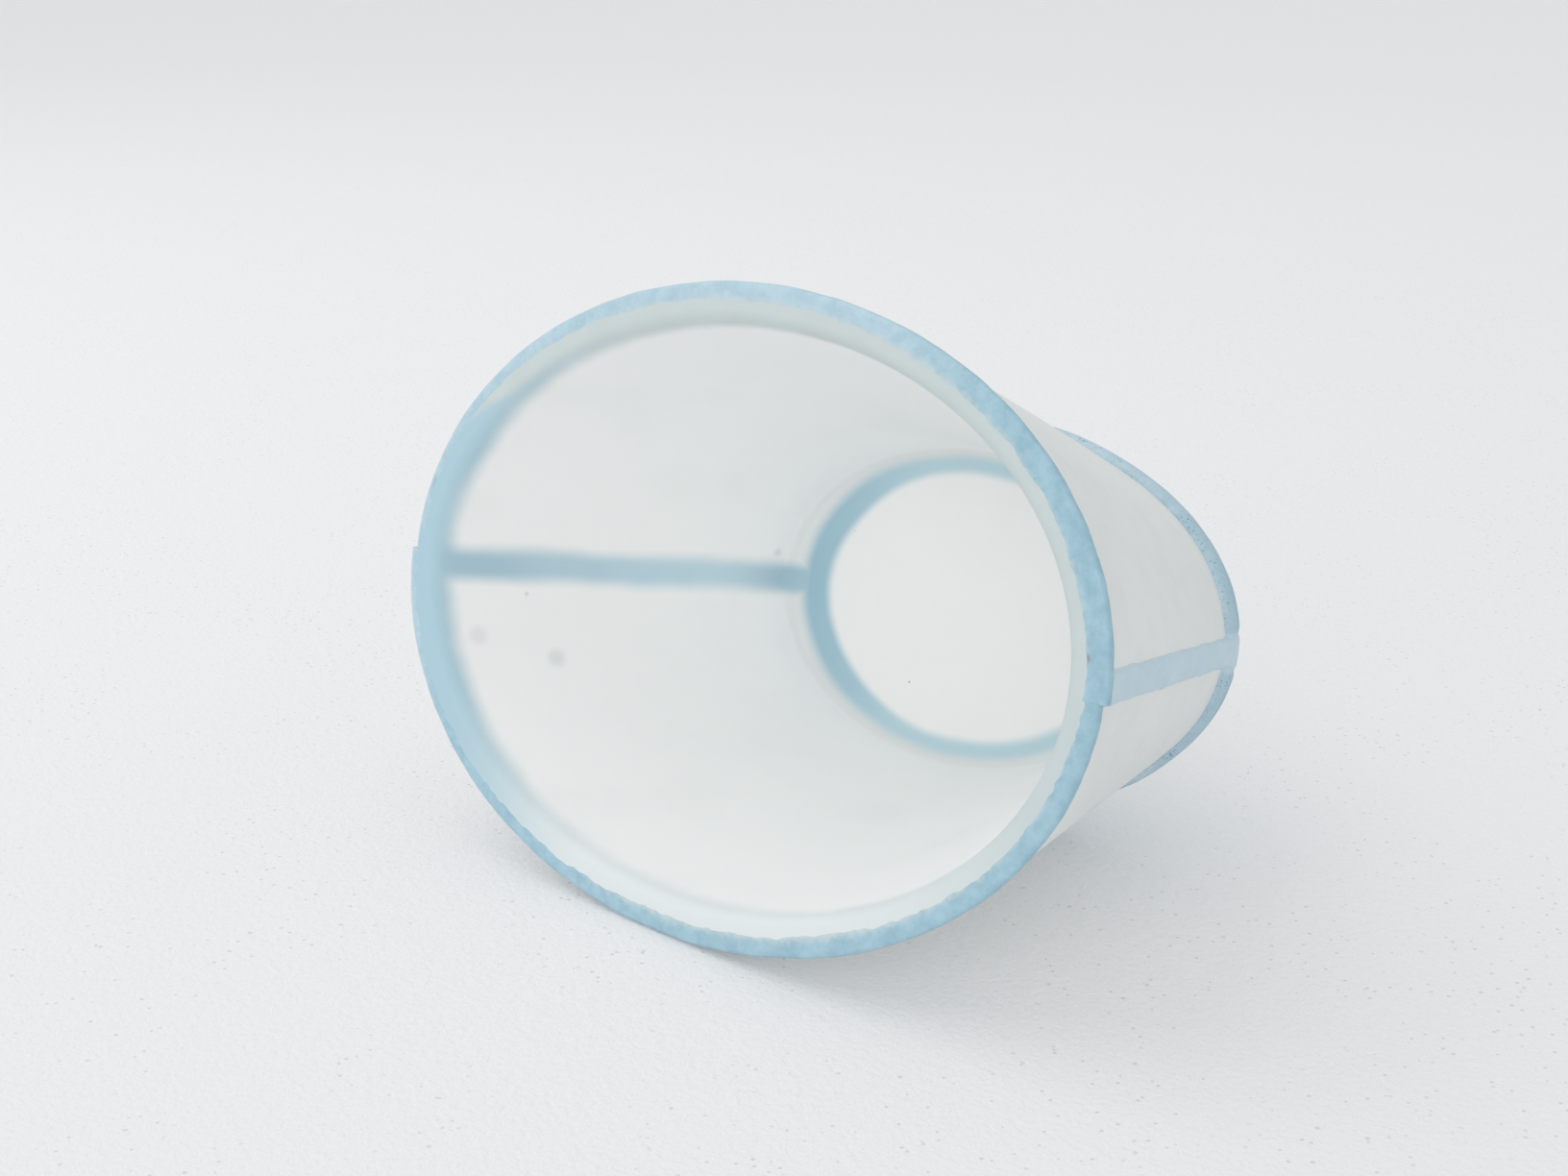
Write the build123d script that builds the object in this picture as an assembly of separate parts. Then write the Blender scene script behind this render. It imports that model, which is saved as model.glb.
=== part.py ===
from build123d import *

import os
from math import atan2, degrees

# Oval tapered cup: two frosted half shells and a base plate, bonded together and edged in blue.
#
# Frame: +Z up towards the mouth, origin at the middle of the foot, on the surface it stands on.
# X runs from seam to seam, along the long axis of the oval. Y crosses it. Sizes are in millimetres.

# Outside of the blue edging
MOUTH_LENGTH = 82.0          # along X
MOUTH_WIDTH = 60.0           # along Y
FOOT_LENGTH = 60.0           # along X
FOOT_WIDTH = 39.0            # along Y
HEIGHT = 42.5

# Frosted walls, measured from the outside of the edging to the cavity
LIP_WALL = 3.6               # all round the mouth
FLOOR_END_WALL = 7.0         # at the cavity floor, along X
FLOOR_SIDE_WALL = 3.5        # at the cavity floor, along Y
BASE_THICKNESS = 2.0
COVE_RADIUS = 2.0            # the rounded corner between the floor and the wall

# Blue edging
EDGE_PROUD = 0.7             # how far the edging stands out of the wall
EDGE_LET_IN = 0.9            # how deep the edging sits in the wall
RIM_BAND_HEIGHT = 1.2
RIM_SHIFT = 0.28             # how far each half of the rim band sits off centre along X
RIM_JOINT_INSIDE = 0.1       # the rim band's halves meet this far inside the edge of each side strip
FOOT_RING_HEIGHT = 3.3
FOOT_LEDGE = 0.8             # thickness of the ledge that the foot ring has under the base
FOOT_LEDGE_END_REACH = 9.0   # how far the ledge reaches in, along X
FOOT_LEDGE_SIDE_REACH = 5.5  # how far the ledge reaches in, along Y
STRIP_WIDTH = 3.0
STRIP_PROUD = 0.4            # how far a side strip stands out of the wall

# Derived
FLOOR_Z = FOOT_LEDGE + BASE_THICKNESS
FLOOR_LENGTH = FOOT_LENGTH - 2 * FLOOR_END_WALL
FLOOR_WIDTH = FOOT_WIDTH - 2 * FLOOR_SIDE_WALL
STRIP_TOP = HEIGHT - RIM_BAND_HEIGHT
RIM_JOINT_ANGLE = -degrees(atan2(STRIP_WIDTH / 2 - RIM_JOINT_INSIDE, MOUTH_LENGTH / 2))
BEYOND = 10.0                # how far a cutting block runs past the cup


def oval(length, width, z):
    """A flat oval face at height z."""
    return Plane.XY.offset(z) * Ellipse(length / 2, width / 2)


def taper(inset):
    """The cup's full outer form, drawn in by inset all round."""
    foot = oval(FOOT_LENGTH - 2 * inset, FOOT_WIDTH - 2 * inset, 0)
    mouth = oval(MOUTH_LENGTH - 2 * inset, MOUTH_WIDTH - 2 * inset, HEIGHT)
    return loft([foot, mouth], ruled=True)


def block(length, width, z_low, z_high):
    """A rectangular block centred on the axis, between two heights."""
    base = Plane.XY.offset(z_low) * Rectangle(length, width)
    return extrude(base, z_high - z_low)


def layer(z_low, z_high):
    """Everything between two heights."""
    return block(MOUTH_LENGTH + BEYOND, MOUTH_WIDTH + BEYOND, z_low, z_high)


def half_space(side, angle=0.0):
    """Everything on the +Y side (side = 1) or the -Y side (side = -1) of the joint."""
    depth = MOUTH_LENGTH + BEYOND
    slab = Box(2 * depth, depth, 3 * HEIGHT)
    slab = Pos(0, side * depth / 2, HEIGHT / 2) * slab
    return Rot(0, 0, angle) * slab


def end_space(side):
    """Everything on the +X side (side = 1) or the -X side (side = -1)."""
    depth = MOUTH_LENGTH + BEYOND
    slab = Box(depth, 2 * depth, 3 * HEIGHT)
    return Pos(side * depth / 2, 0, HEIGHT / 2) * slab


def cavity():
    """The inside of the cup, from the floor to the mouth, with square corners."""
    floor = oval(FLOOR_LENGTH, FLOOR_WIDTH, FLOOR_Z)
    mouth = oval(MOUTH_LENGTH - 2 * LIP_WALL, MOUTH_WIDTH - 2 * LIP_WALL, HEIGHT)
    return loft([floor, mouth], ruled=True)


def coved_cavity():
    """The inside of the cup with its lower corner rounded."""
    inside = cavity()
    corner = inside.edges().sort_by(Axis.Z)[0]
    return fillet(corner, COVE_RADIUS)


def edging(inset, shift=0.0):
    """A skin over the wall: from inset inside the outer form to the depth it is let in.

    Its outside can be shifted along X."""
    return Pos(shift, 0, 0) * taper(inset) - taper(EDGE_PROUD + EDGE_LET_IN)


def rim_band():
    """The rim band in its two halves, +Y half first, which meet with a small step at each seam."""
    rim = layer(STRIP_TOP, HEIGHT)
    back = edging(0, RIM_SHIFT) & rim & half_space(1, RIM_JOINT_ANGLE)
    front = edging(0, -RIM_SHIFT) & rim & half_space(-1, RIM_JOINT_ANGLE)
    return back, front


def side_strip(side):
    """One strip over the seam between the half shells, from the foot ledge to the rim band."""
    skin = edging(EDGE_PROUD - STRIP_PROUD)
    run = block(MOUTH_LENGTH + BEYOND, STRIP_WIDTH, FOOT_LEDGE, STRIP_TOP)
    return skin & run & end_space(side)


def foot_ring(strips):
    """The foot ring in its two halves, +Y half first: a band outside and a ledge under the base."""
    band = edging(0) & layer(0, FOOT_RING_HEIGHT)
    opening = oval(FOOT_LENGTH - 2 * FOOT_LEDGE_END_REACH, FOOT_WIDTH - 2 * FOOT_LEDGE_SIDE_REACH, 0)
    ledge = (taper(0) & layer(0, FOOT_LEDGE)) - extrude(opening, FOOT_LEDGE)
    ring = band + ledge
    for strip in strips:
        ring = ring - strip
    return ring & half_space(1), ring & half_space(-1)


def base_plug():
    """The upright-sided oval that the base plate fills."""
    return extrude(oval(FLOOR_LENGTH, FLOOR_WIDTH, FOOT_LEDGE), BASE_THICKNESS)


def base_plate():
    """The base plate with the bonded cove round its upper edge."""
    return base_plug() + (cavity() - coved_cavity())


def half_shells(edge_pieces):
    """The frosted wall in its two halves, +Y half first, rebated for the edging."""
    wall = (taper(EDGE_PROUD) & layer(FOOT_LEDGE, HEIGHT)) - cavity() - base_plug()
    for piece in edge_pieces:
        wall = wall - piece
    return wall & half_space(1), wall & half_space(-1)


def build():
    """Every piece by name."""
    strip_right = side_strip(1)
    strip_left = side_strip(-1)
    rim_back, rim_front = rim_band()
    ring_back, ring_front = foot_ring([strip_right, strip_left])
    edge_pieces = [strip_right, strip_left, rim_back, rim_front, ring_back, ring_front]
    shell_back, shell_front = half_shells(edge_pieces)
    return {
        "half_shell_back": shell_back,
        "half_shell_front": shell_front,
        "base_plate": base_plate(),
        "rim_band_back": rim_back,
        "rim_band_front": rim_front,
        "foot_ring_back": ring_back,
        "foot_ring_front": ring_front,
        "side_strip_right": strip_right,
        "side_strip_left": strip_left,
    }


os.makedirs("parts", exist_ok=True)
for name, piece in build().items():
    export_step(piece, f"parts/{name}.step")
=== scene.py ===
"""Looks for the frosted oval cup: detailed pieces, materials, a pale studio and the camera.

Everything is in metres, in the cup's own frame: +Z towards the mouth, X from seam to seam, Y across.
The cup lies on its -Y side in the studio, so the floor is a slanted plane just clear of that side.
"""

from math import atan2, cos, exp, hypot, pi, radians, sin, sqrt

import bpy
from mathutils import Matrix, Vector, noise


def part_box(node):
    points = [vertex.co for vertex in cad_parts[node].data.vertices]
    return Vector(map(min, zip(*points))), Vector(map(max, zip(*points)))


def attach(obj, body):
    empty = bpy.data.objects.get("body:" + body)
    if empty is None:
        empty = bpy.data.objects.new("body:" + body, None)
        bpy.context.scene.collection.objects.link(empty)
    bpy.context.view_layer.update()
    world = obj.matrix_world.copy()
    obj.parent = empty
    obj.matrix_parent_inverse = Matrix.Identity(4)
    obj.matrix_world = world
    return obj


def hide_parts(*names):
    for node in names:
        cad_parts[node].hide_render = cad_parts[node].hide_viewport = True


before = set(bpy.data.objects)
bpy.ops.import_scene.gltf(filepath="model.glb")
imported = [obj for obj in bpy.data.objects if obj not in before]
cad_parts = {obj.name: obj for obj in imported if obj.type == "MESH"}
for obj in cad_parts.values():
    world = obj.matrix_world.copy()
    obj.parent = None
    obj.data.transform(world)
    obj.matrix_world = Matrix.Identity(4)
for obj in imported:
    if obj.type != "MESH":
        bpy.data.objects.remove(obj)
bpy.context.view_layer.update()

MM = 0.001

# ---------------------------------------------------------------- sizes

# The cup's height comes from the frame. The oval half axes are the CAD model's own, but for the last.
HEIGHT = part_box("rim_band_back")[1].z
MOUTH = (41.0 * MM, 30.0 * MM)
FOOT = (30.0 * MM, 19.5 * MM)
CAVITY_MOUTH = (37.4 * MM, 26.4 * MM)
CAVITY_FLOOR = (23.0 * MM, 16.0 * MM)
LEDGE_INSIDE = (21.0 * MM, 14.0 * MM)
RING_SHOWN = (19.5 * MM, 13.9 * MM)    # the ledge's inner edge as seen through the base, drawn narrower

BASE_THICKNESS = 2.0 * MM
LEDGE_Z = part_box("base_plate")[0].z
FLOOR_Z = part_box("base_plate")[0].z + BASE_THICKNESS
RIM_LOW_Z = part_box("rim_band_back")[0].z
RING_TOP_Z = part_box("foot_ring_back")[1].z
COVE = 2.0 * MM

EDGE_PROUD = 0.7 * MM                  # how far the blue stands out of the wall
EDGE_DEPTH = 1.6 * MM                  # from the outside of the blue to the bottom of its rebate
EDGE_SHORT = 0.1 * MM                  # how far short of that the rim's backing and the ring's back stop
RIM_SHIFT = 0.28 * MM                  # how far each half of the rim sits off centre along X
RING_RISE = 0.3 * MM                   # how far the ring's thin upper edge runs up the wall
STRIP_HALF = 1.5 * MM
STRIP_INSET = 0.3 * MM
RIM_JOINT = atan2(STRIP_HALF - 0.1 * MM, MOUTH[0])

LIP_ROUND = 1.0 * MM                   # radius of the wall's inner edge at the mouth
LIP_UNDER = 0.75 * MM                  # how near the wall's end comes to the outside, under the blue
LIP_Z = HEIGHT - 0.06 * MM             # the frosted lip lies just under the blue

# Camera
CAMERA_AIM = Vector((-5.8 * MM, 1.5 * MM, 25.8 * MM))
CAMERA_DISTANCE = 214 * MM
CAMERA_AZIMUTH = radians(8.9)       # round from +X towards +Y
CAMERA_ELEVATION = radians(50.5)    # up from the foot's plane
CAMERA_ROLL = radians(91.2)         # the cup lies on its side
LENS = 50.7
SENSOR = 36.0

# Where the cup comes nearest the floor, as an angle round the oval
LIES_ON = radians(265.6)

# Clearance that keeps the uneven edging from sinking into the floor
FLOOR_GAP = 0.08 * MM

# Studio
FLOOR_HALF = 4.0
KEY_DISTANCE = 0.60
KEY_SIZE = 0.60

# Where the foot ring's edge rises in a low wave, as an angle round the oval
RING_WAVE = radians(318)

# Steps round the whole oval: the rim and ring, then the wall and base
FINE_STEPS = 960
WALL_STEPS = 360

# Faces that meet at more than this angle show an edge
CREASE = radians(32)

# Points up the wall's outer face, round its inner edge and down the cavity face
OUTER_ROWS = 22
LIP_ROWS = 7
INNER_ROWS = 24

# ---------------------------------------------------------------- ovals and noise


def blend(low, high, share):
    """The half axes a share of the way from one oval to another."""
    return tuple(p + (q - p) * share for p, q in zip(low, high))


def outside(z, inset=0.0):
    """Half axes and height of the cup's outer form at height z, drawn in by inset."""
    a, b = blend(FOOT, MOUTH, z / HEIGHT)
    return a - inset, b - inset, z


def inside(z, inset=0.0):
    """The same for the cavity. A positive inset goes into the wall."""
    a, b = blend(CAVITY_FLOOR, CAVITY_MOUTH, (z - FLOOR_Z) / (HEIGHT - FLOOR_Z))
    return a + inset, b + inset, z


def wander(angle, waves, seed):
    """Smooth noise from -1 to 1 round the oval, with about that many waves."""
    spot = Vector((cos(angle) * waves / 6.3, sin(angle) * waves / 6.3, seed * 7.31))
    return noise.noise(spot)


def ragged(angle, seed):
    """A hand-finished edge: long and short waves together, about -1 to 1."""
    slow = 0.8 * wander(angle, 14, seed) + 0.7 * wander(angle, 60, seed + 1)
    return slow + 0.7 * wander(angle, 190, seed + 2) + 0.4 * wander(angle, 420, seed + 3)


# ---------------------------------------------------------------- meshes


def make_object(name, verts, faces, materials, face_slots=None):
    """A smooth-shaded mesh object in the scene. face_slots gives each face's material."""
    mesh = bpy.data.meshes.new(name)
    mesh.from_pydata([tuple(v) for v in verts], [], faces)
    for mat in materials:
        mesh.materials.append(mat)
    mesh.update()
    if face_slots:
        mesh.polygons.foreach_set("material_index", face_slots)
    mesh.polygons.foreach_set("use_smooth", [True] * len(mesh.polygons))
    obj = bpy.data.objects.new(name, mesh)
    bpy.context.scene.collection.objects.link(obj)
    return obj


def sharpen(obj):
    """Keeps corners crisp and the rest smooth."""
    obj.data.set_sharp_from_angle(angle=CREASE)


def sweep(name, section, start, end, steps, materials, slots=None):
    """A closed solid: the section, a loop of (half axis, half axis, height), swept round the oval.

    section(angle) gives the loop. slots gives the material of each side of the loop."""
    rows = []
    for i in range(steps + 1):
        angle = start + (end - start) * i / steps
        rows.append([Vector((a * cos(angle), b * sin(angle), z)) for a, b, z in section(angle)])
    count = len(rows[0])
    verts = [v for row in rows for v in row]
    faces, face_slots = [], []
    for i in range(steps):
        for j in range(count):
            k = (j + 1) % count
            faces.append((i * count + j, (i + 1) * count + j, (i + 1) * count + k, i * count + k))
            face_slots.append(slots[j] if slots else 0)
    faces.append(tuple(range(count)))
    faces.append(tuple(reversed(range(steps * count, (steps + 1) * count))))
    face_slots += [0, 0]
    obj = make_object(name, verts, faces, materials, face_slots)
    sharpen(obj)
    return obj


def run(first, last, count):
    """Evenly spaced values from the first to the last, both included."""
    return [first + (last - first) * i / (count - 1) for i in range(count)]


def wall_section(angle):
    """The frosted wall: rebate behind the ring, outer face, rebate behind the rim, lip, cavity face."""
    wobble = 0.06 * MM * wander(angle, 9, 3)
    loop = [outside(LEDGE_Z, EDGE_DEPTH), outside(RING_TOP_Z - 0.5 * MM, EDGE_DEPTH)]
    for z in run(RING_TOP_Z - 0.4 * MM, RIM_LOW_Z + 0.3 * MM, OUTER_ROWS):
        share = (z - RING_TOP_Z) / (RIM_LOW_Z - RING_TOP_Z)
        ripple = 0.05 * MM * noise.noise(Vector((3 * cos(angle), 3 * sin(angle), 5 * share)))
        waist = 0.60 * MM * (1 - share) ** 3 * sin(angle) ** 2
        loop.append(outside(z, EDGE_PROUD + waist + (ripple + wobble) * 4 * share * (1 - share)))
    loop.append(outside(RIM_LOW_Z + 0.35 * MM, EDGE_DEPTH - EDGE_SHORT))
    loop.append(outside(HEIGHT - 0.30 * MM, EDGE_DEPTH - EDGE_SHORT))
    lip_out = outside(LIP_Z, LIP_UNDER)
    lip_in = inside(LIP_Z, LIP_ROUND)
    for share in (0.0, 0.3, 0.5, 0.75):
        a, b = blend(lip_out[:2], lip_in[:2], share)
        loop.append((a, b, LIP_Z))
    for turn in run(0, pi / 2, LIP_ROWS):
        z = LIP_Z - LIP_ROUND * (1 - cos(turn))
        loop.append(inside(z, LIP_ROUND * (1 - sin(turn))))
    for z in run(HEIGHT - 1.9 * MM, FLOOR_Z, INNER_ROWS):
        share = (z - FLOOR_Z) / (HEIGHT - FLOOR_Z)
        ripple = 0.10 * MM * noise.noise(Vector((2 * cos(angle), 2 * sin(angle), 4 * share + 9)))
        loop.append(inside(z, ripple * 4 * share * (1 - share)))
    loop.append((*CAVITY_FLOOR, LEDGE_Z))
    return loop


def wall_slots():
    """0 for the outer face and hidden faces, 1 for the lip and cavity face."""
    count = len(wall_section(0))
    below_face = 2
    lip_start = below_face + OUTER_ROWS + 1
    cavity_end = count - 2
    return [1 if lip_start <= j < cavity_end else 0 for j in range(count)]


def make_wall(name, node, start, mats):
    obj = sweep(name, wall_section, start, start + pi, WALL_STEPS // 2, mats, wall_slots())
    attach(obj, "root")
    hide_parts(node)
    return obj


def rim_reach(angle, seed):
    """How far the blue reaches in over the lip at this angle."""
    broad = 1.95 * MM + 0.15 * MM * cos(angle) - 0.70 * MM * max(0.0, -cos(angle)) ** 2
    return broad + 0.26 * MM * ragged(angle, seed)


def rim_section(shift, seed):
    """One half of the blue at the mouth: a rounded band outside, and a thin skin over the lip."""
    def section(angle):
        reach = rim_reach(angle, seed)
        lump = 0.07 * MM * wander(angle, 40, seed + 5) + 0.05 * MM * wander(angle, 110, seed + 6)
        low = RIM_LOW_Z - 0.16 * MM * ragged(angle, seed + 8)
        top = HEIGHT - 0.02 * MM
        pts = [
            (EDGE_DEPTH - 0.12 * MM, low + 0.40 * MM),
            (EDGE_PROUD + 0.02 * MM, low),
            (0.45 * MM, low + 0.01 * MM),
            (0.20 * MM, low + 0.10 * MM),
            (0.06 * MM, low + 0.26 * MM),
            (0.0, low + 0.48 * MM),
            (0.03 * MM, top - 0.42 * MM),
            (0.12 * MM, top - 0.22 * MM),
            (0.28 * MM, top - 0.08 * MM),
            (0.50 * MM, top - 0.01 * MM),
            (0.80 * MM, top + 0.01 * MM),
            (reach - 0.35 * MM, top),
            (reach - 0.15 * MM, top - 0.02 * MM),
            (reach, top - 0.06 * MM),
            (reach + 0.02 * MM, top - 0.25 * MM),
        ]
        loop = []
        for inset, z in pts:
            a, b, z = outside(z, inset + lump * (inset < 0.5 * MM))
            moved = shift * cos(angle) * (inset < EDGE_DEPTH - 0.2 * MM)
            loop.append((a + moved, b, z))
        return loop
    return section


def make_rim(name, node, start, shift, seed, mat):
    obj = sweep(name, rim_section(shift, seed), start, start + pi, FINE_STEPS // 2, [mat])
    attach(obj, "root")
    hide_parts(node)
    return obj


def ring_section(seed):
    """One half of the blue at the foot: a rounded band outside, and a ledge under the base."""
    def section(angle):
        across = abs(outside(0)[1] * sin(angle))
        at_strip = exp(-(across / (1.9 * MM)) ** 4)
        low = 0.34 * MM * at_strip
        wave = exp(-((angle - RING_WAVE) / 0.09) ** 2)
        top = RING_TOP_Z + RING_RISE + 0.24 * MM * ragged(angle, seed) + 0.7 * MM * wave
        lump = 0.03 * MM * wander(angle, 60, seed + 5)
        pts = [
            (0.35 * MM, 0.0),
            (0.14 * MM, 0.10 * MM),
            (0.03 * MM, 0.32 * MM),
            (0.0, 0.7 * MM),
            (0.0, top - 0.95 * MM),
            (0.10 * MM, top - 0.55 * MM),
            (0.30 * MM, top - 0.22 * MM),
            (0.55 * MM, top - 0.05 * MM),
            (EDGE_PROUD + 0.10 * MM, top + 0.03 * MM),
            (EDGE_PROUD + 0.75 * MM, top + 0.06 * MM),
            (EDGE_DEPTH - EDGE_SHORT, RING_TOP_Z - 0.6 * MM),
            (EDGE_DEPTH - EDGE_SHORT, LEDGE_Z - 0.01 * MM),
        ]
        loop = [outside(z, inset + (lump + low) * (inset < EDGE_PROUD)) for inset, z in pts]
        rough = 0.12 * MM * ragged(angle, seed + 9)
        a, b = LEDGE_INSIDE
        loop.append((a + rough, b + rough, LEDGE_Z - 0.01 * MM))
        loop.append((a + rough, b + rough, 0.12 * MM))
        loop.append((a + rough + 0.15 * MM, b + rough + 0.15 * MM, 0.0))
        return loop
    return section


def make_ring(name, node, start, seed, mat):
    obj = sweep(name, ring_section(seed), start, start + pi, FINE_STEPS // 2, [mat])
    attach(obj, "root")
    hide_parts(node)
    return obj


def make_base(mats):
    """The base plate: flat floor, cove running up into the wall, flat underside."""
    loop = []
    for share in run(0, 1, 16)[1:]:
        loop.append(((CAVITY_FLOOR[0] - COVE) * share, (CAVITY_FLOOR[1] - COVE) * share, FLOOR_Z))
    for share in run(0, 1, 11)[1:]:
        turn = pi / 2 * share
        z = FLOOR_Z + COVE * (1 - cos(turn))
        loop.append(inside(z, -COVE * (1 - sin(turn)) + 0.05 * MM * share ** 6))
    top_rows = len(loop)
    loop.append(inside(FLOOR_Z + COVE, 0.4 * MM))
    loop.append(inside(FLOOR_Z, 0.02 * MM))
    loop.append((*CAVITY_FLOOR, LEDGE_Z))
    for share in run(1, 0, 12)[1:-1]:
        loop.append((CAVITY_FLOOR[0] * share, CAVITY_FLOOR[1] * share, LEDGE_Z))
    count = len(loop)
    verts, faces, slots = [], [], []
    for i in range(WALL_STEPS):
        angle = 2 * pi * i / WALL_STEPS
        verts += [(a * cos(angle), b * sin(angle), z) for a, b, z in loop]
    middle = len(verts)
    verts += [(0, 0, FLOOR_Z), (0, 0, LEDGE_Z)]
    for i in range(WALL_STEPS):
        here = i * count
        there = (i + 1) % WALL_STEPS * count
        for j in range(count - 1):
            faces.append((here + j, there + j, there + j + 1, here + j + 1))
            slots.append(0 if j < top_rows else 1)
        faces.append((middle, there, here))
        slots.append(0)
        faces.append((middle + 1, here + count - 1, there + count - 1))
        slots.append(1)
    obj = make_object("base", verts, faces, mats, slots)
    sharpen(obj)
    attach(obj, "root")
    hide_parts("base_plate")
    return obj


def strip_wave(z, seed, edge):
    """How far a strip's edge strays at height z."""
    slow = noise.noise(Vector((z / MM * 0.4, seed, edge)))
    quick = noise.noise(Vector((z / MM * 1.7, seed, edge + 1)))
    return 0.16 * MM * slow + 0.10 * MM * quick


def on_side(side, z, inset, y):
    """A point at height z on the outer form's +X side (side = 1) or -X side (side = -1)."""
    a, b, z = outside(z, inset)
    return side * a * sqrt(max(0.0, 1 - (y / b) ** 2)), y, z


def make_strip(name, node, side, seed, mat):
    """A flat strip over the seam: rounded edges, faint grooves along it, spreading at the foot."""
    rows, cols = 150, 17
    top, bottom = RIM_LOW_Z + 0.2 * MM, 0.30 * MM
    across = run(-1, 1, cols)
    verts = []
    for z in run(bottom, top, rows):
        foot = exp(-((z - bottom) / (3.4 * MM)) ** 4)
        flare = 0.6 * MM * exp(-((z - bottom) / (2.2 * MM)) ** 2)
        left = STRIP_HALF + strip_wave(z, seed, 0) + flare
        right = STRIP_HALF + strip_wave(z, seed, 5) + flare
        for u in across:
            y = u * (right if u > 0 else left)
            edge = max(0.0, (abs(u) - 0.6) / 0.4)
            groove = 0.025 * MM * (exp(-((u - 0.25) / 0.09) ** 2) + exp(-((u + 0.3) / 0.07) ** 2))
            ripple = 0.03 * MM * noise.noise(Vector((z / MM * 0.3, u * 2, seed)))
            inset = STRIP_INSET * (1 - 0.9 * foot) + 0.46 * MM * edge ** 2 + groove + ripple
            verts.append(on_side(side, z, inset, y))
        for u in across:
            y = u * (right if u > 0 else left)
            verts.append(on_side(side, z, EDGE_DEPTH - 0.05 * MM, y))
    faces = []
    width = 2 * cols
    for i in range(rows - 1):
        here, up = i * width, (i + 1) * width
        for j in range(cols - 1):
            faces.append((here + j, here + j + 1, up + j + 1, up + j))
            faces.append((here + cols + j, up + cols + j, up + cols + j + 1, here + cols + j + 1))
        faces.append((here, up, up + cols, here + cols))
        last = cols - 1
        faces.append((here + last, here + cols + last, up + cols + last, up + last))
    loop = list(range(cols)) + list(range(2 * cols - 1, cols - 1, -1))
    faces.append(tuple(reversed(loop)))
    faces.append(tuple((rows - 1) * width + k for k in loop))
    if side < 0:
        faces = [tuple(reversed(f)) for f in faces]
    obj = make_object(name, verts, faces, [mat])
    sharpen(obj)
    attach(obj, "root")
    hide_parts(node)
    return obj


# ---------------------------------------------------------------- materials


class Nodes:
    """Short names for building a node tree."""

    def __init__(self, name):
        self.mat = bpy.data.materials.new(name)
        self.mat.use_nodes = True
        self.tree = self.mat.node_tree
        self.bsdf = self.tree.nodes["Principled BSDF"]
        spot = self.tree.nodes.new("ShaderNodeTexCoord")
        self.place = spot.outputs["Object"]
        split = self.tree.nodes.new("ShaderNodeSeparateXYZ")
        self.link(self.place, split.inputs[0])
        self.x, self.y, self.z = split.outputs

    def link(self, a, b):
        self.tree.links.new(a, b)

    def feed(self, socket, value):
        """Links a socket to another, or sets it to a plain value."""
        if isinstance(value, bpy.types.NodeSocket):
            self.link(value, socket)
        else:
            socket.default_value = value

    def math(self, operation, a, b=0.0):
        node = self.tree.nodes.new("ShaderNodeMath")
        node.operation = operation
        self.feed(node.inputs[0], a)
        self.feed(node.inputs[1], b)
        return node.outputs[0]

    def ramp(self, value, low, high, to_low=0.0, to_high=1.0):
        """A smooth change from to_low to to_high as value goes from low to high."""
        node = self.tree.nodes.new("ShaderNodeMapRange")
        node.interpolation_type = "SMOOTHSTEP"
        self.feed(node.inputs["Value"], value)
        for key, number in zip(("From Min", "From Max", "To Min", "To Max"), (low, high, to_low, to_high)):
            node.inputs[key].default_value = number
        return node.outputs[0]

    def noise(self, scale, detail=3.0, rough=0.5):
        node = self.tree.nodes.new("ShaderNodeTexNoise")
        node.inputs["Scale"].default_value = scale
        node.inputs["Detail"].default_value = detail
        node.inputs["Roughness"].default_value = rough
        self.link(self.place, node.inputs["Vector"])
        return node.outputs["Fac"]

    def dots(self, scale, size, soft=0.4):
        """Scattered round dots: 1 inside a dot."""
        node = self.tree.nodes.new("ShaderNodeTexVoronoi")
        node.inputs["Scale"].default_value = scale
        self.link(self.place, node.inputs["Vector"])
        return self.ramp(node.outputs["Distance"], size * (1 - soft), size, 1.0, 0.0)

    def mix(self, share, a, b):
        node = self.tree.nodes.new("ShaderNodeMix")
        node.data_type = "RGBA"
        self.feed(node.inputs[0], share)
        self.feed(node.inputs[6], a)
        self.feed(node.inputs[7], b)
        return node.outputs[2]

    def oval_edge(self, half_axes):
        """About how far a point is outside an upright oval, in metres."""
        a, b = half_axes
        u = self.math("DIVIDE", self.x, a)
        v = self.math("DIVIDE", self.y, b)
        r = self.math("SQRT", self.math("ADD", self.math("MULTIPLY", u, u), self.math("MULTIPLY", v, v)))
        return self.math("MULTIPLY", self.math("SUBTRACT", r, 1.0), (a + b) / 2)

    def blob(self, place, size):
        """A soft round mark at a place."""
        node = self.tree.nodes.new("ShaderNodeVectorMath")
        node.operation = "DISTANCE"
        self.link(self.place, node.inputs[0])
        node.inputs[1].default_value = place
        return self.ramp(node.outputs["Value"], size * 0.2, size, 1.0, 0.0)

    def bump(self, height, distance, strength):
        node = self.tree.nodes.new("ShaderNodeBump")
        node.inputs["Strength"].default_value = strength
        node.inputs["Distance"].default_value = distance
        self.feed(node.inputs["Height"], height)
        self.link(node.outputs[0], self.bsdf.inputs["Normal"])


def rgb(r, g, b):
    """A colour from display values of 0 to 255."""
    lin = [c / 255 / 12.92 if c / 255 <= 0.04045 else ((c / 255 + 0.055) / 1.055) ** 2.4 for c in (r, g, b)]
    return (*lin, 1.0)


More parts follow.
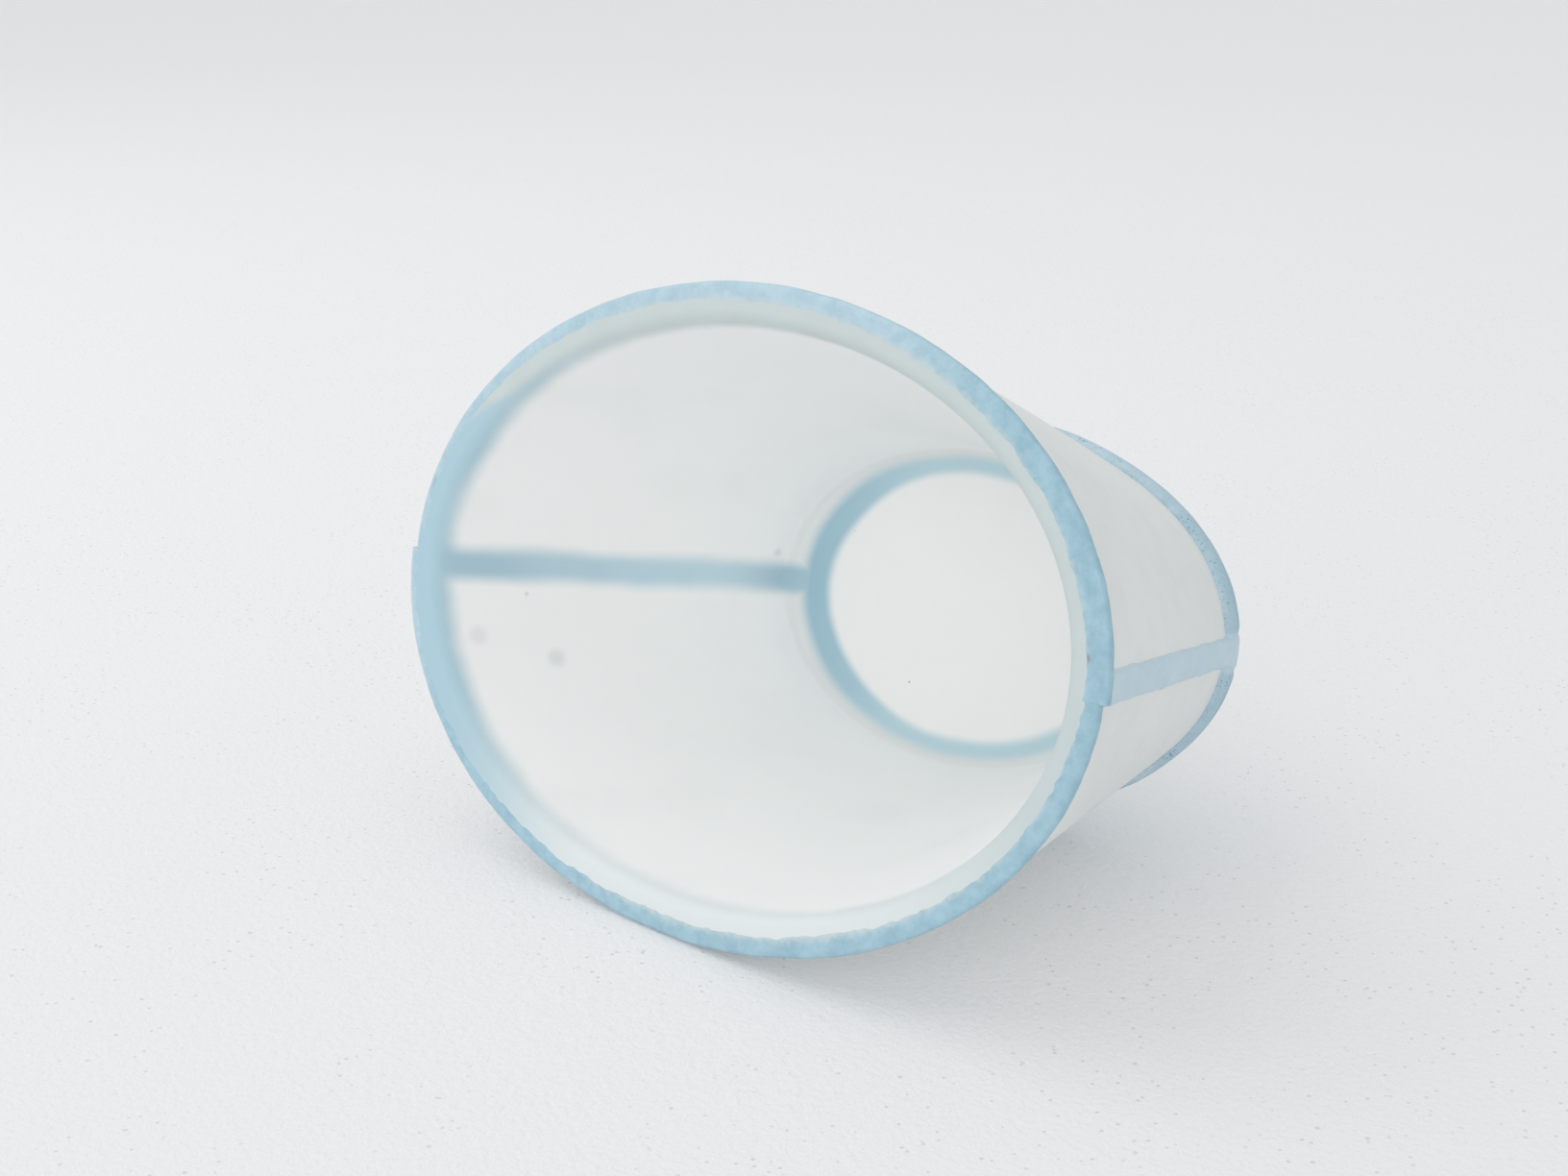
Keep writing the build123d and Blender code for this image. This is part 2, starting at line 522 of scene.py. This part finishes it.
FROST = rgb(245, 245, 244)
FROST_DULL = rgb(240, 241, 240)
FROST_BASE = rgb(239, 239, 238)
FROST_BASE_DULL = rgb(234, 235, 234)
FROST_OUTSIDE = rgb(230, 233, 232)
FROST_OUTSIDE_DULL = rgb(223, 227, 226)
COVE_SHADE = rgb(224, 226, 225)
RING_DEEP = rgb(156, 190, 204)
RING_LIGHT = rgb(184, 210, 219)
LIP_PALE = rgb(202, 212, 213)
LIP_LOW = rgb(224, 229, 229)
LIP_DULL = rgb(194, 204, 204)
SHOW_THROUGH = rgb(184, 212, 224)
SHOW_DEEP = rgb(160, 192, 206)
SHOW_LIP = rgb(169, 200, 213)
BLUE = rgb(165, 198, 212)
BLUE_DEEP = rgb(146, 182, 198)
BLUE_PALE = rgb(203, 222, 231)
BLUE_LIGHT = rgb(190, 212, 223)
BUBBLE = rgb(78, 128, 162)
RUST = rgb(150, 120, 96)
MARK = rgb(178, 186, 186)
MARK_DARK = rgb(110, 112, 110)
FLOOR_WHITE = rgb(226, 226, 227)
FLOOR_PIT_SHADE = rgb(176, 178, 180)


def frosted_base(n, colour):
    """The frosted body: an opaque matte skin with fine grain."""
    n.feed(n.bsdf.inputs["Base Color"], colour)
    n.bsdf.inputs["Roughness"].default_value = 0.55
    n.bsdf.inputs["IOR"].default_value = 1.48
    n.bsdf.inputs["Specular IOR Level"].default_value = 0.35
    grain = n.noise(2600, 2)
    n.bump(grain, 0.03 * MM, 0.4)


def frosted_outer():
    """The wall's outer face and the base's underside: cloudy, with a few specks."""
    n = Nodes("frosted_outer")
    broad = n.ramp(n.noise(60, 5, 0.6), 0.35, 0.65, 0.0, 0.6)
    fine = n.ramp(n.noise(350, 4), 0.4, 0.7, 0.0, 0.4)
    tint = n.mix(n.math("ADD", broad, fine), FROST_OUTSIDE, FROST_OUTSIDE_DULL)
    specks = n.math("MULTIPLY", n.dots(130, 0.022), 0.4)
    tint = n.mix(specks, tint, MARK)
    frosted_base(n, tint)
    return n.mat


def strip_shadow(n, soft):
    """1 behind a side strip, falling softly to 0 beside it: the mask of the strip's painted shade seen
    through the frosted body.
    """
    wave = n.math("MULTIPLY", n.math("SUBTRACT", n.noise(120, 2), 0.5), 0.8 * MM)
    off = n.math("ABSOLUTE", n.math("ADD", n.y, wave))
    uneven = n.ramp(n.noise(60, 2), 0.3, 0.7, 0.82, 1.0)
    return n.math("MULTIPLY", n.ramp(off, STRIP_HALF - soft, STRIP_HALF + soft, 1.0, 0.0), uneven)


def on_cavity(angle, z):
    """A point on the cavity face."""
    a, b, z = inside(z)
    return Vector((a * cos(radians(angle)), b * sin(radians(angle)), z))


# Small grey marks on the cavity face: place, size and strength
WALL_MARKS = [
    (on_cavity(196.5, 38.5 * MM), 1.5 * MM, 0.22),
    (on_cavity(203, 31 * MM), 1.5 * MM, 0.30),
    (on_cavity(171, 5.5 * MM), 0.7 * MM, 0.30),
    (on_cavity(187, 33 * MM), 0.35 * MM, 0.45),
]


def frosted_inner():
    """The cavity face and the lip.

    The side strips are painted on as their blurred shade seen through the wall, deeper near the mouth and
    the floor. The lip is painted greyer as shade, and blue beside the -X seam as the blue rim seen through
    it."""
    n = Nodes("frosted_inner")
    tint = n.mix(n.noise(40, 4), FROST, FROST_DULL)
    high = n.ramp(n.z, 16 * MM, 38 * MM, 0.0, 0.8)
    low = n.ramp(n.z, 4 * MM, 12 * MM, 1.0, 0.0)
    deep = n.math("MAXIMUM", high, low)
    # Painted shade: the side strips seen through the wall, deeper near the mouth and the floor.
    colour = n.mix(strip_shadow(n, 1.0 * MM), tint, n.mix(deep, SHOW_THROUGH, SHOW_DEEP))
    haze = n.ramp(n.noise(90, 3), 0.5, 0.8)
    colour = n.mix(n.math("MULTIPLY", haze, 0.07), colour, MARK)
    for place, size, depth in WALL_MARKS:
        colour = n.mix(n.math("MULTIPLY", n.blob(place, size), depth), colour, MARK)

    # Painted shade on the lip: grey towards +Y, lighter towards -Y.
    below = n.ramp(n.y, -27 * MM, -8 * MM)
    lip = n.mix(below, LIP_LOW, n.mix(n.noise(300, 3), LIP_PALE, LIP_DULL))
    # Painted show-through: the blue rim seen through the lip beside the -X seam, wider towards -Y.
    widening = n.ramp(n.x, -37 * MM, -27 * MM, 2.6 * MM, 0.3 * MM)
    inward = n.math("ADD", widening, n.ramp(n.y, -10 * MM, 4 * MM, 2.5 * MM, 0.0))
    covered = n.ramp(n.math("SUBTRACT", n.oval_edge(CAVITY_MOUTH), inward), -0.5 * MM, 0.5 * MM, 1.0, 0.0)
    left = n.math("MULTIPLY", n.ramp(n.x, -36 * MM, -12 * MM, 0.97, 0.05), covered)
    lip = n.mix(left, lip, SHOW_LIP)

    smudge = n.math("MULTIPLY", n.math("SUBTRACT", n.noise(160, 3), 0.5), 1.2 * MM)
    height = n.math("ADD", n.z, smudge)
    colour = n.mix(n.ramp(height, HEIGHT - 2.9 * MM, HEIGHT - 0.3 * MM), colour, lip)
    frosted_base(n, colour)
    return n.mat


# Small dark marks on the floor of the cup: place, size and strength
FLOOR_MARKS = [
    (Vector((-6.3 * MM, -8.9 * MM, FLOOR_Z)), 0.16 * MM, 0.8),
    (Vector((-15.5 * MM, 6.0 * MM, FLOOR_Z)), 0.12 * MM, 0.4),
]


def frosted_floor():
    """The top of the base plate and its cove. The blue ledge under it is painted on as a soft ring, seen
    through the base, and the lower cove a shade darker.
    """
    n = Nodes("frosted_floor")
    tint = n.mix(n.noise(60, 4), FROST_BASE, FROST_BASE_DULL)
    # Painted show-through: the blue ledge under the base and the strips beyond it, wider and deeper at -X.
    wave = n.math("MULTIPLY", n.math("SUBTRACT", n.noise(90, 2), 0.5), 0.6 * MM)
    off = n.math("ADD", n.oval_edge(RING_SHOWN), wave)
    broad = n.math("ADD", off, n.ramp(n.x, -17 * MM, -5 * MM, 1.1 * MM, 0.0))
    ring = n.math("MULTIPLY", n.ramp(broad, -0.8 * MM, 0.7 * MM), n.ramp(off, 1.2 * MM, 2.7 * MM, 1.0, 0.0))
    beyond = n.math("MULTIPLY", strip_shadow(n, 0.75 * MM), n.ramp(off, 0.6 * MM, 1.4 * MM))
    up_cove = n.ramp(n.z, FLOOR_Z, FLOOR_Z + COVE)
    tint = n.mix(up_cove, tint, n.mix(n.noise(40, 4), FROST, FROST_DULL))
    # Painted shade: the lower part of the cove is drawn darker.
    low_cove = n.ramp(n.z, FLOOR_Z + 0.9 * MM, FLOOR_Z + COVE, 1.0, 0.0)
    cove_shade = n.math("MULTIPLY", n.ramp(off, 0.6 * MM, 1.8 * MM), low_cove)
    tint = n.mix(cove_shade, tint, COVE_SHADE)
    for place, size, depth in FLOOR_MARKS:
        tint = n.mix(n.math("MULTIPLY", n.blob(place, size), depth), tint, MARK_DARK)
    blue = n.mix(n.ramp(n.x, -21 * MM, -4 * MM), RING_DEEP, RING_LIGHT)
    colour = n.mix(n.math("MAXIMUM", ring, beyond), tint, blue)
    frosted_base(n, colour)
    return n.mat


def blue_base(n, colour, mottle):
    """The finish shared by all the blue edging."""
    n.feed(n.bsdf.inputs["Base Color"], colour)
    n.feed(n.bsdf.inputs["Roughness"], n.ramp(n.noise(300, 3), 0.3, 0.7, 0.45, 0.65))
    n.bsdf.inputs["Specular IOR Level"].default_value = 0.35
    n.bump(mottle, 0.06 * MM, 0.5)


def blue_rim():
    """Cast blue round the mouth: mottled, with painted shade deeper at +X and -Y and a painted highlight
    along the outer edge at -X, fading where it thins over the lip.
    """
    n = Nodes("blue_rim")
    mottle = n.noise(700, 5, 0.65)
    # Painted shade: deeper blue towards +X and -Y, paler towards the lit top.
    plus_x_shade = n.ramp(n.x, 4 * MM, 30 * MM)
    front = n.ramp(n.y, 8 * MM, -22 * MM, 0.0, 0.95)
    side = n.math("MAXIMUM", n.math("MAXIMUM", plus_x_shade, front), 0.5)
    darker = n.mix(side, BLUE_LIGHT, BLUE_DEEP)
    lighter = n.mix(side, BLUE_PALE, BLUE)
    colour = n.mix(n.ramp(mottle, 0.3, 0.7), darker, lighter)
    # Where the blue thins over the lip it fades to the lip's painted shade, and at -X and -Y to the painted
    # blue of the rim seen through the lip.
    inset = n.math("MULTIPLY", n.oval_edge(MOUTH), -1.0)
    uneven = n.math("MULTIPLY", n.math("SUBTRACT", n.noise(1300, 4, 0.6), 0.5), 1.6 * MM)
    thin = n.math("ADD", inset, uneven)
    fade = n.math("MULTIPLY", n.ramp(thin, 1.4 * MM, 2.5 * MM), 0.8)
    left = n.ramp(n.x, -36 * MM, -6 * MM, 1.0, 0.0)
    low_left = n.math("MULTIPLY", left, n.ramp(n.y, -6 * MM, 2 * MM, 1.0, 0.0))
    colour = n.mix(fade, colour, n.mix(low_left, LIP_PALE, SHOW_LIP))
    # Painted highlight: a paler line along the outer edge towards -X.
    wear_and_edge_highlight = n.ramp(inset, 0.10 * MM, 0.45 * MM, 0.25, 0.0)
    outer = n.math("MULTIPLY", wear_and_edge_highlight, n.ramp(n.x, 10 * MM, -20 * MM))
    fleck = n.blob(Vector((MOUTH[0] - 2.1 * MM, 2.4 * MM, HEIGHT)), 0.55 * MM)
    colour = n.mix(n.math("MULTIPLY", fleck, 0.6), colour, RUST)
    colour = n.mix(outer, colour, BLUE_PALE)
    blue_base(n, colour, mottle)
    return n.mat


def blue_edging():
    """The strips and the foot ring: a lighter blue with small bubbles and pale patches of wear. The ring is
    deeper low down, partly from more blue there and partly as painted shade towards +X and -Y.
    """
    n = Nodes("blue_edging")
    mottle = n.noise(420, 4, 0.6)
    colour = n.mix(n.ramp(mottle, 0.3, 0.7), n.mix(0.6, BLUE, BLUE_LIGHT), BLUE_LIGHT)
    wear_and_edge_highlight = n.ramp(n.noise(240, 3), 0.56, 0.74)
    colour = n.mix(n.math("MULTIPLY", wear_and_edge_highlight, 0.6), colour, BLUE_PALE)
    under = n.ramp(n.math("ABSOLUTE", n.x), FOOT[0] - EDGE_DEPTH, FOOT[0] - EDGE_PROUD, 1.0, 0.0)
    beside = n.math("MAXIMUM", n.ramp(n.math("ABSOLUTE", n.y), 1.5 * MM, 2.4 * MM), under)
    below_top = n.ramp(n.z, RING_TOP_Z, RING_TOP_Z + 0.6 * MM, 1.0, 0.0)
    on_ring = n.math("MULTIPLY", below_top, beside)
    above_ring = n.math("SUBTRACT", 0.45, n.math("MULTIPLY", on_ring, 0.45))
    colour = n.mix(above_ring, colour, BLUE_PALE)
    # Deeper blue low on the ring where it is heavier, and painted shade towards +X and -Y.
    thick_and_shaded = n.math("MULTIPLY", on_ring, n.ramp(n.z, 0.4 * MM, 2.4 * MM, 0.85, 0.35))
    plus_x_minus_y_shade = n.ramp(n.math("SUBTRACT", n.y, n.x), -20 * MM, 6 * MM, 1.0, 0.05)
    thick_and_shaded = n.math("MULTIPLY", thick_and_shaded, plus_x_minus_y_shade)
    colour = n.mix(thick_and_shaded, colour, BLUE_DEEP)
    inner_half = n.math("MULTIPLY", on_ring, n.ramp(n.z, RING_TOP_Z - 1.9 * MM, RING_TOP_Z - 1.2 * MM))
    some = n.math("MULTIPLY", n.ramp(n.noise(130, 2), 0.36, 0.48), inner_half)
    bubbles = n.math("MAXIMUM", n.dots(2900, 0.27), n.dots(1500, 0.20))
    bubbles = n.math("MULTIPLY", n.math("MULTIPLY", bubbles, some), 0.75)
    colour = n.mix(bubbles, colour, BUBBLE)
    few = n.math("MULTIPLY", n.ramp(n.noise(210, 2), 0.60, 0.64), inner_half)
    rusty = n.math("MULTIPLY", n.math("MULTIPLY", n.dots(1300, 0.13), few), 0.8)
    colour = n.mix(rusty, colour, RUST)
    blue_base(n, colour, mottle)
    return n.mat


# ---------------------------------------------------------------- studio


def floor_plane():
    """The floor's upward normal and a point on it. The plane runs just clear of the rim and the foot."""
    c, s = cos(LIES_ON), sin(LIES_ON)
    rim = hypot(MOUTH[0] * c, MOUTH[1] * s)
    foot = hypot(FOOT[0] * c, FOOT[1] * s)
    down = Vector((c, s, (foot - rim) / HEIGHT))
    touch = Vector((FOOT[0] ** 2 * c / foot, FOOT[1] ** 2 * s / foot, 0))
    return -down.normalized(), touch + down.normalized() * FLOOR_GAP


def camera_axes():
    """The camera's right, up and backward directions."""
    c, s = cos(CAMERA_ELEVATION), sin(CAMERA_ELEVATION)
    back = Vector((c * cos(CAMERA_AZIMUTH), c * sin(CAMERA_AZIMUTH), s))
    level = Vector((0, 0, 1)).cross(back).normalized()
    upright = back.cross(level)
    up = upright * cos(CAMERA_ROLL) + level * sin(CAMERA_ROLL)
    return up.cross(back), up, back


FLOOR_UP, FLOOR_POINT = floor_plane()
CAMERA_BACK = camera_axes()[2]
AWAY = -(CAMERA_BACK - FLOOR_UP * CAMERA_BACK.dot(FLOOR_UP)).normalized()
ACROSS = AWAY.cross(FLOOR_UP).normalized()


def floor_material():
    """Matte white board with a fine grain, small dark dots painted as shade in its pitted face, and a faint
    painted glow that lifts its shadows. From below it is clear, to show the cup.
    """
    n = Nodes("studio_floor")
    # Painted shade: small dark dots stand in for the shade in the board's tiny hollows.
    patchy = n.ramp(n.noise(45, 3), 0.40, 0.55)
    pit_shade = n.math("MULTIPLY", n.math("MAXIMUM", n.dots(700, 0.15), n.dots(430, 0.11)), patchy)
    colour = n.mix(n.math("MULTIPLY", pit_shade, 0.5), FLOOR_WHITE, FLOOR_PIT_SHADE)
    n.feed(n.bsdf.inputs["Base Color"], colour)
    n.bsdf.inputs["Roughness"].default_value = 0.8
    n.bsdf.inputs["Specular IOR Level"].default_value = 0.2
    # Painted light: the floor glows faintly, lifting its shadows.
    n.bsdf.inputs["Emission Color"].default_value = FLOOR_WHITE
    n.bsdf.inputs["Emission Strength"].default_value = 0.14
    n.bump(n.noise(1500, 3, 0.6), 0.25 * MM, 0.7)
    clear = n.tree.nodes.new("ShaderNodeBsdfTransparent")
    side = n.tree.nodes.new("ShaderNodeNewGeometry")
    mix = n.tree.nodes.new("ShaderNodeMixShader")
    n.link(side.outputs["Backfacing"], mix.inputs[0])
    n.link(n.bsdf.outputs[0], mix.inputs[1])
    n.link(clear.outputs[0], mix.inputs[2])
    n.link(mix.outputs[0], n.tree.nodes["Material Output"].inputs["Surface"])
    return n.mat


def make_floor():
    """A square floor about the point where the foot rests, square to the camera's view."""
    corners = []
    for x, y in ((-1, -1), (1, -1), (1, 1), (-1, 1)):
        corners.append(FLOOR_POINT + ACROSS * x * FLOOR_HALF + AWAY * y * FLOOR_HALF)
    floor = make_object("studio_floor", corners, [(0, 1, 2, 3)], [floor_material()])


def make_camera():
    data = bpy.data.cameras.new("camera")
    data.lens = LENS
    data.sensor_width = SENSOR
    data.clip_start = 5 * MM
    obj = bpy.data.objects.new("camera", data)
    turn = Matrix(camera_axes()).transposed()
    place = CAMERA_AIM + CAMERA_BACK * CAMERA_DISTANCE
    obj.matrix_world = Matrix.Translation(place) @ turn.to_4x4()
    bpy.context.scene.collection.objects.link(obj)
    bpy.context.scene.camera = obj


def studio_direction(across, away, up):
    """A direction in the studio: to the right of the camera's view, away from it, and up."""
    return (ACROSS * across + AWAY * away + FLOOR_UP * up).normalized()


def add_light(name, kind, source, power):
    """A light that shines on the cup from the source direction."""
    data = bpy.data.lights.new(name, kind)
    data.energy = power
    obj = bpy.data.objects.new(name, data)
    obj.rotation_mode = "QUATERNION"
    obj.rotation_quaternion = (-source).to_track_quat("-Z", "Y")
    bpy.context.scene.collection.objects.link(obj)
    return obj


def add_key():
    """A soft box near the cup, so its light falls off over the floor. The camera doesn't see it."""
    source = studio_direction(-0.75, 0.20, 1.0)
    obj = add_light("soft_key", "AREA", source, 0.76)
    obj.data.size = KEY_SIZE
    obj.location = FLOOR_POINT + source * KEY_DISTANCE
    obj.visible_camera = False


def add_fill():
    """A wide low light into the mouth."""
    obj = add_light("mouth_fill", "SUN", studio_direction(-0.45, -1.0, 0.22), 0.75)
    obj.data.angle = radians(60)


def make_light():
    """Soft light from all round, a key and a fill."""
    world = bpy.data.worlds.new("studio")
    world.use_nodes = True
    back = world.node_tree.nodes["Background"]
    back.inputs["Color"].default_value = (0.985, 0.995, 1.0, 1)
    back.inputs["Strength"].default_value = 0.78
    bpy.context.scene.world = world
    add_key()
    add_fill()


# ---------------------------------------------------------------- the scene

rim_mat = blue_rim()
blue_mat = blue_edging()
wall_mats = [frosted_outer(), frosted_inner()]
make_wall("frosted_wall_back", "half_shell_back", 0, wall_mats)
make_wall("frosted_wall_front", "half_shell_front", pi, wall_mats)
make_base([frosted_floor(), wall_mats[0]])
make_rim("blue_rim_back", "rim_band_back", -RIM_JOINT, RIM_SHIFT, 1, rim_mat)
make_rim("blue_rim_front", "rim_band_front", pi - RIM_JOINT, -RIM_SHIFT, 2, rim_mat)
make_ring("blue_ring_back", "foot_ring_back", 0, 3, blue_mat)
make_ring("blue_ring_front", "foot_ring_front", pi, 4, blue_mat)
make_strip("blue_strip_right", "side_strip_right", 1, 5, blue_mat)
make_strip("blue_strip_left", "side_strip_left", -1, 6, blue_mat)
make_floor()
make_camera()
make_light()

scene = bpy.context.scene
scene.view_settings.view_transform = "Standard"
scene.cycles.use_denoising = True
scene.cycles.max_bounces = 16
scene.cycles.diffuse_bounces = 10
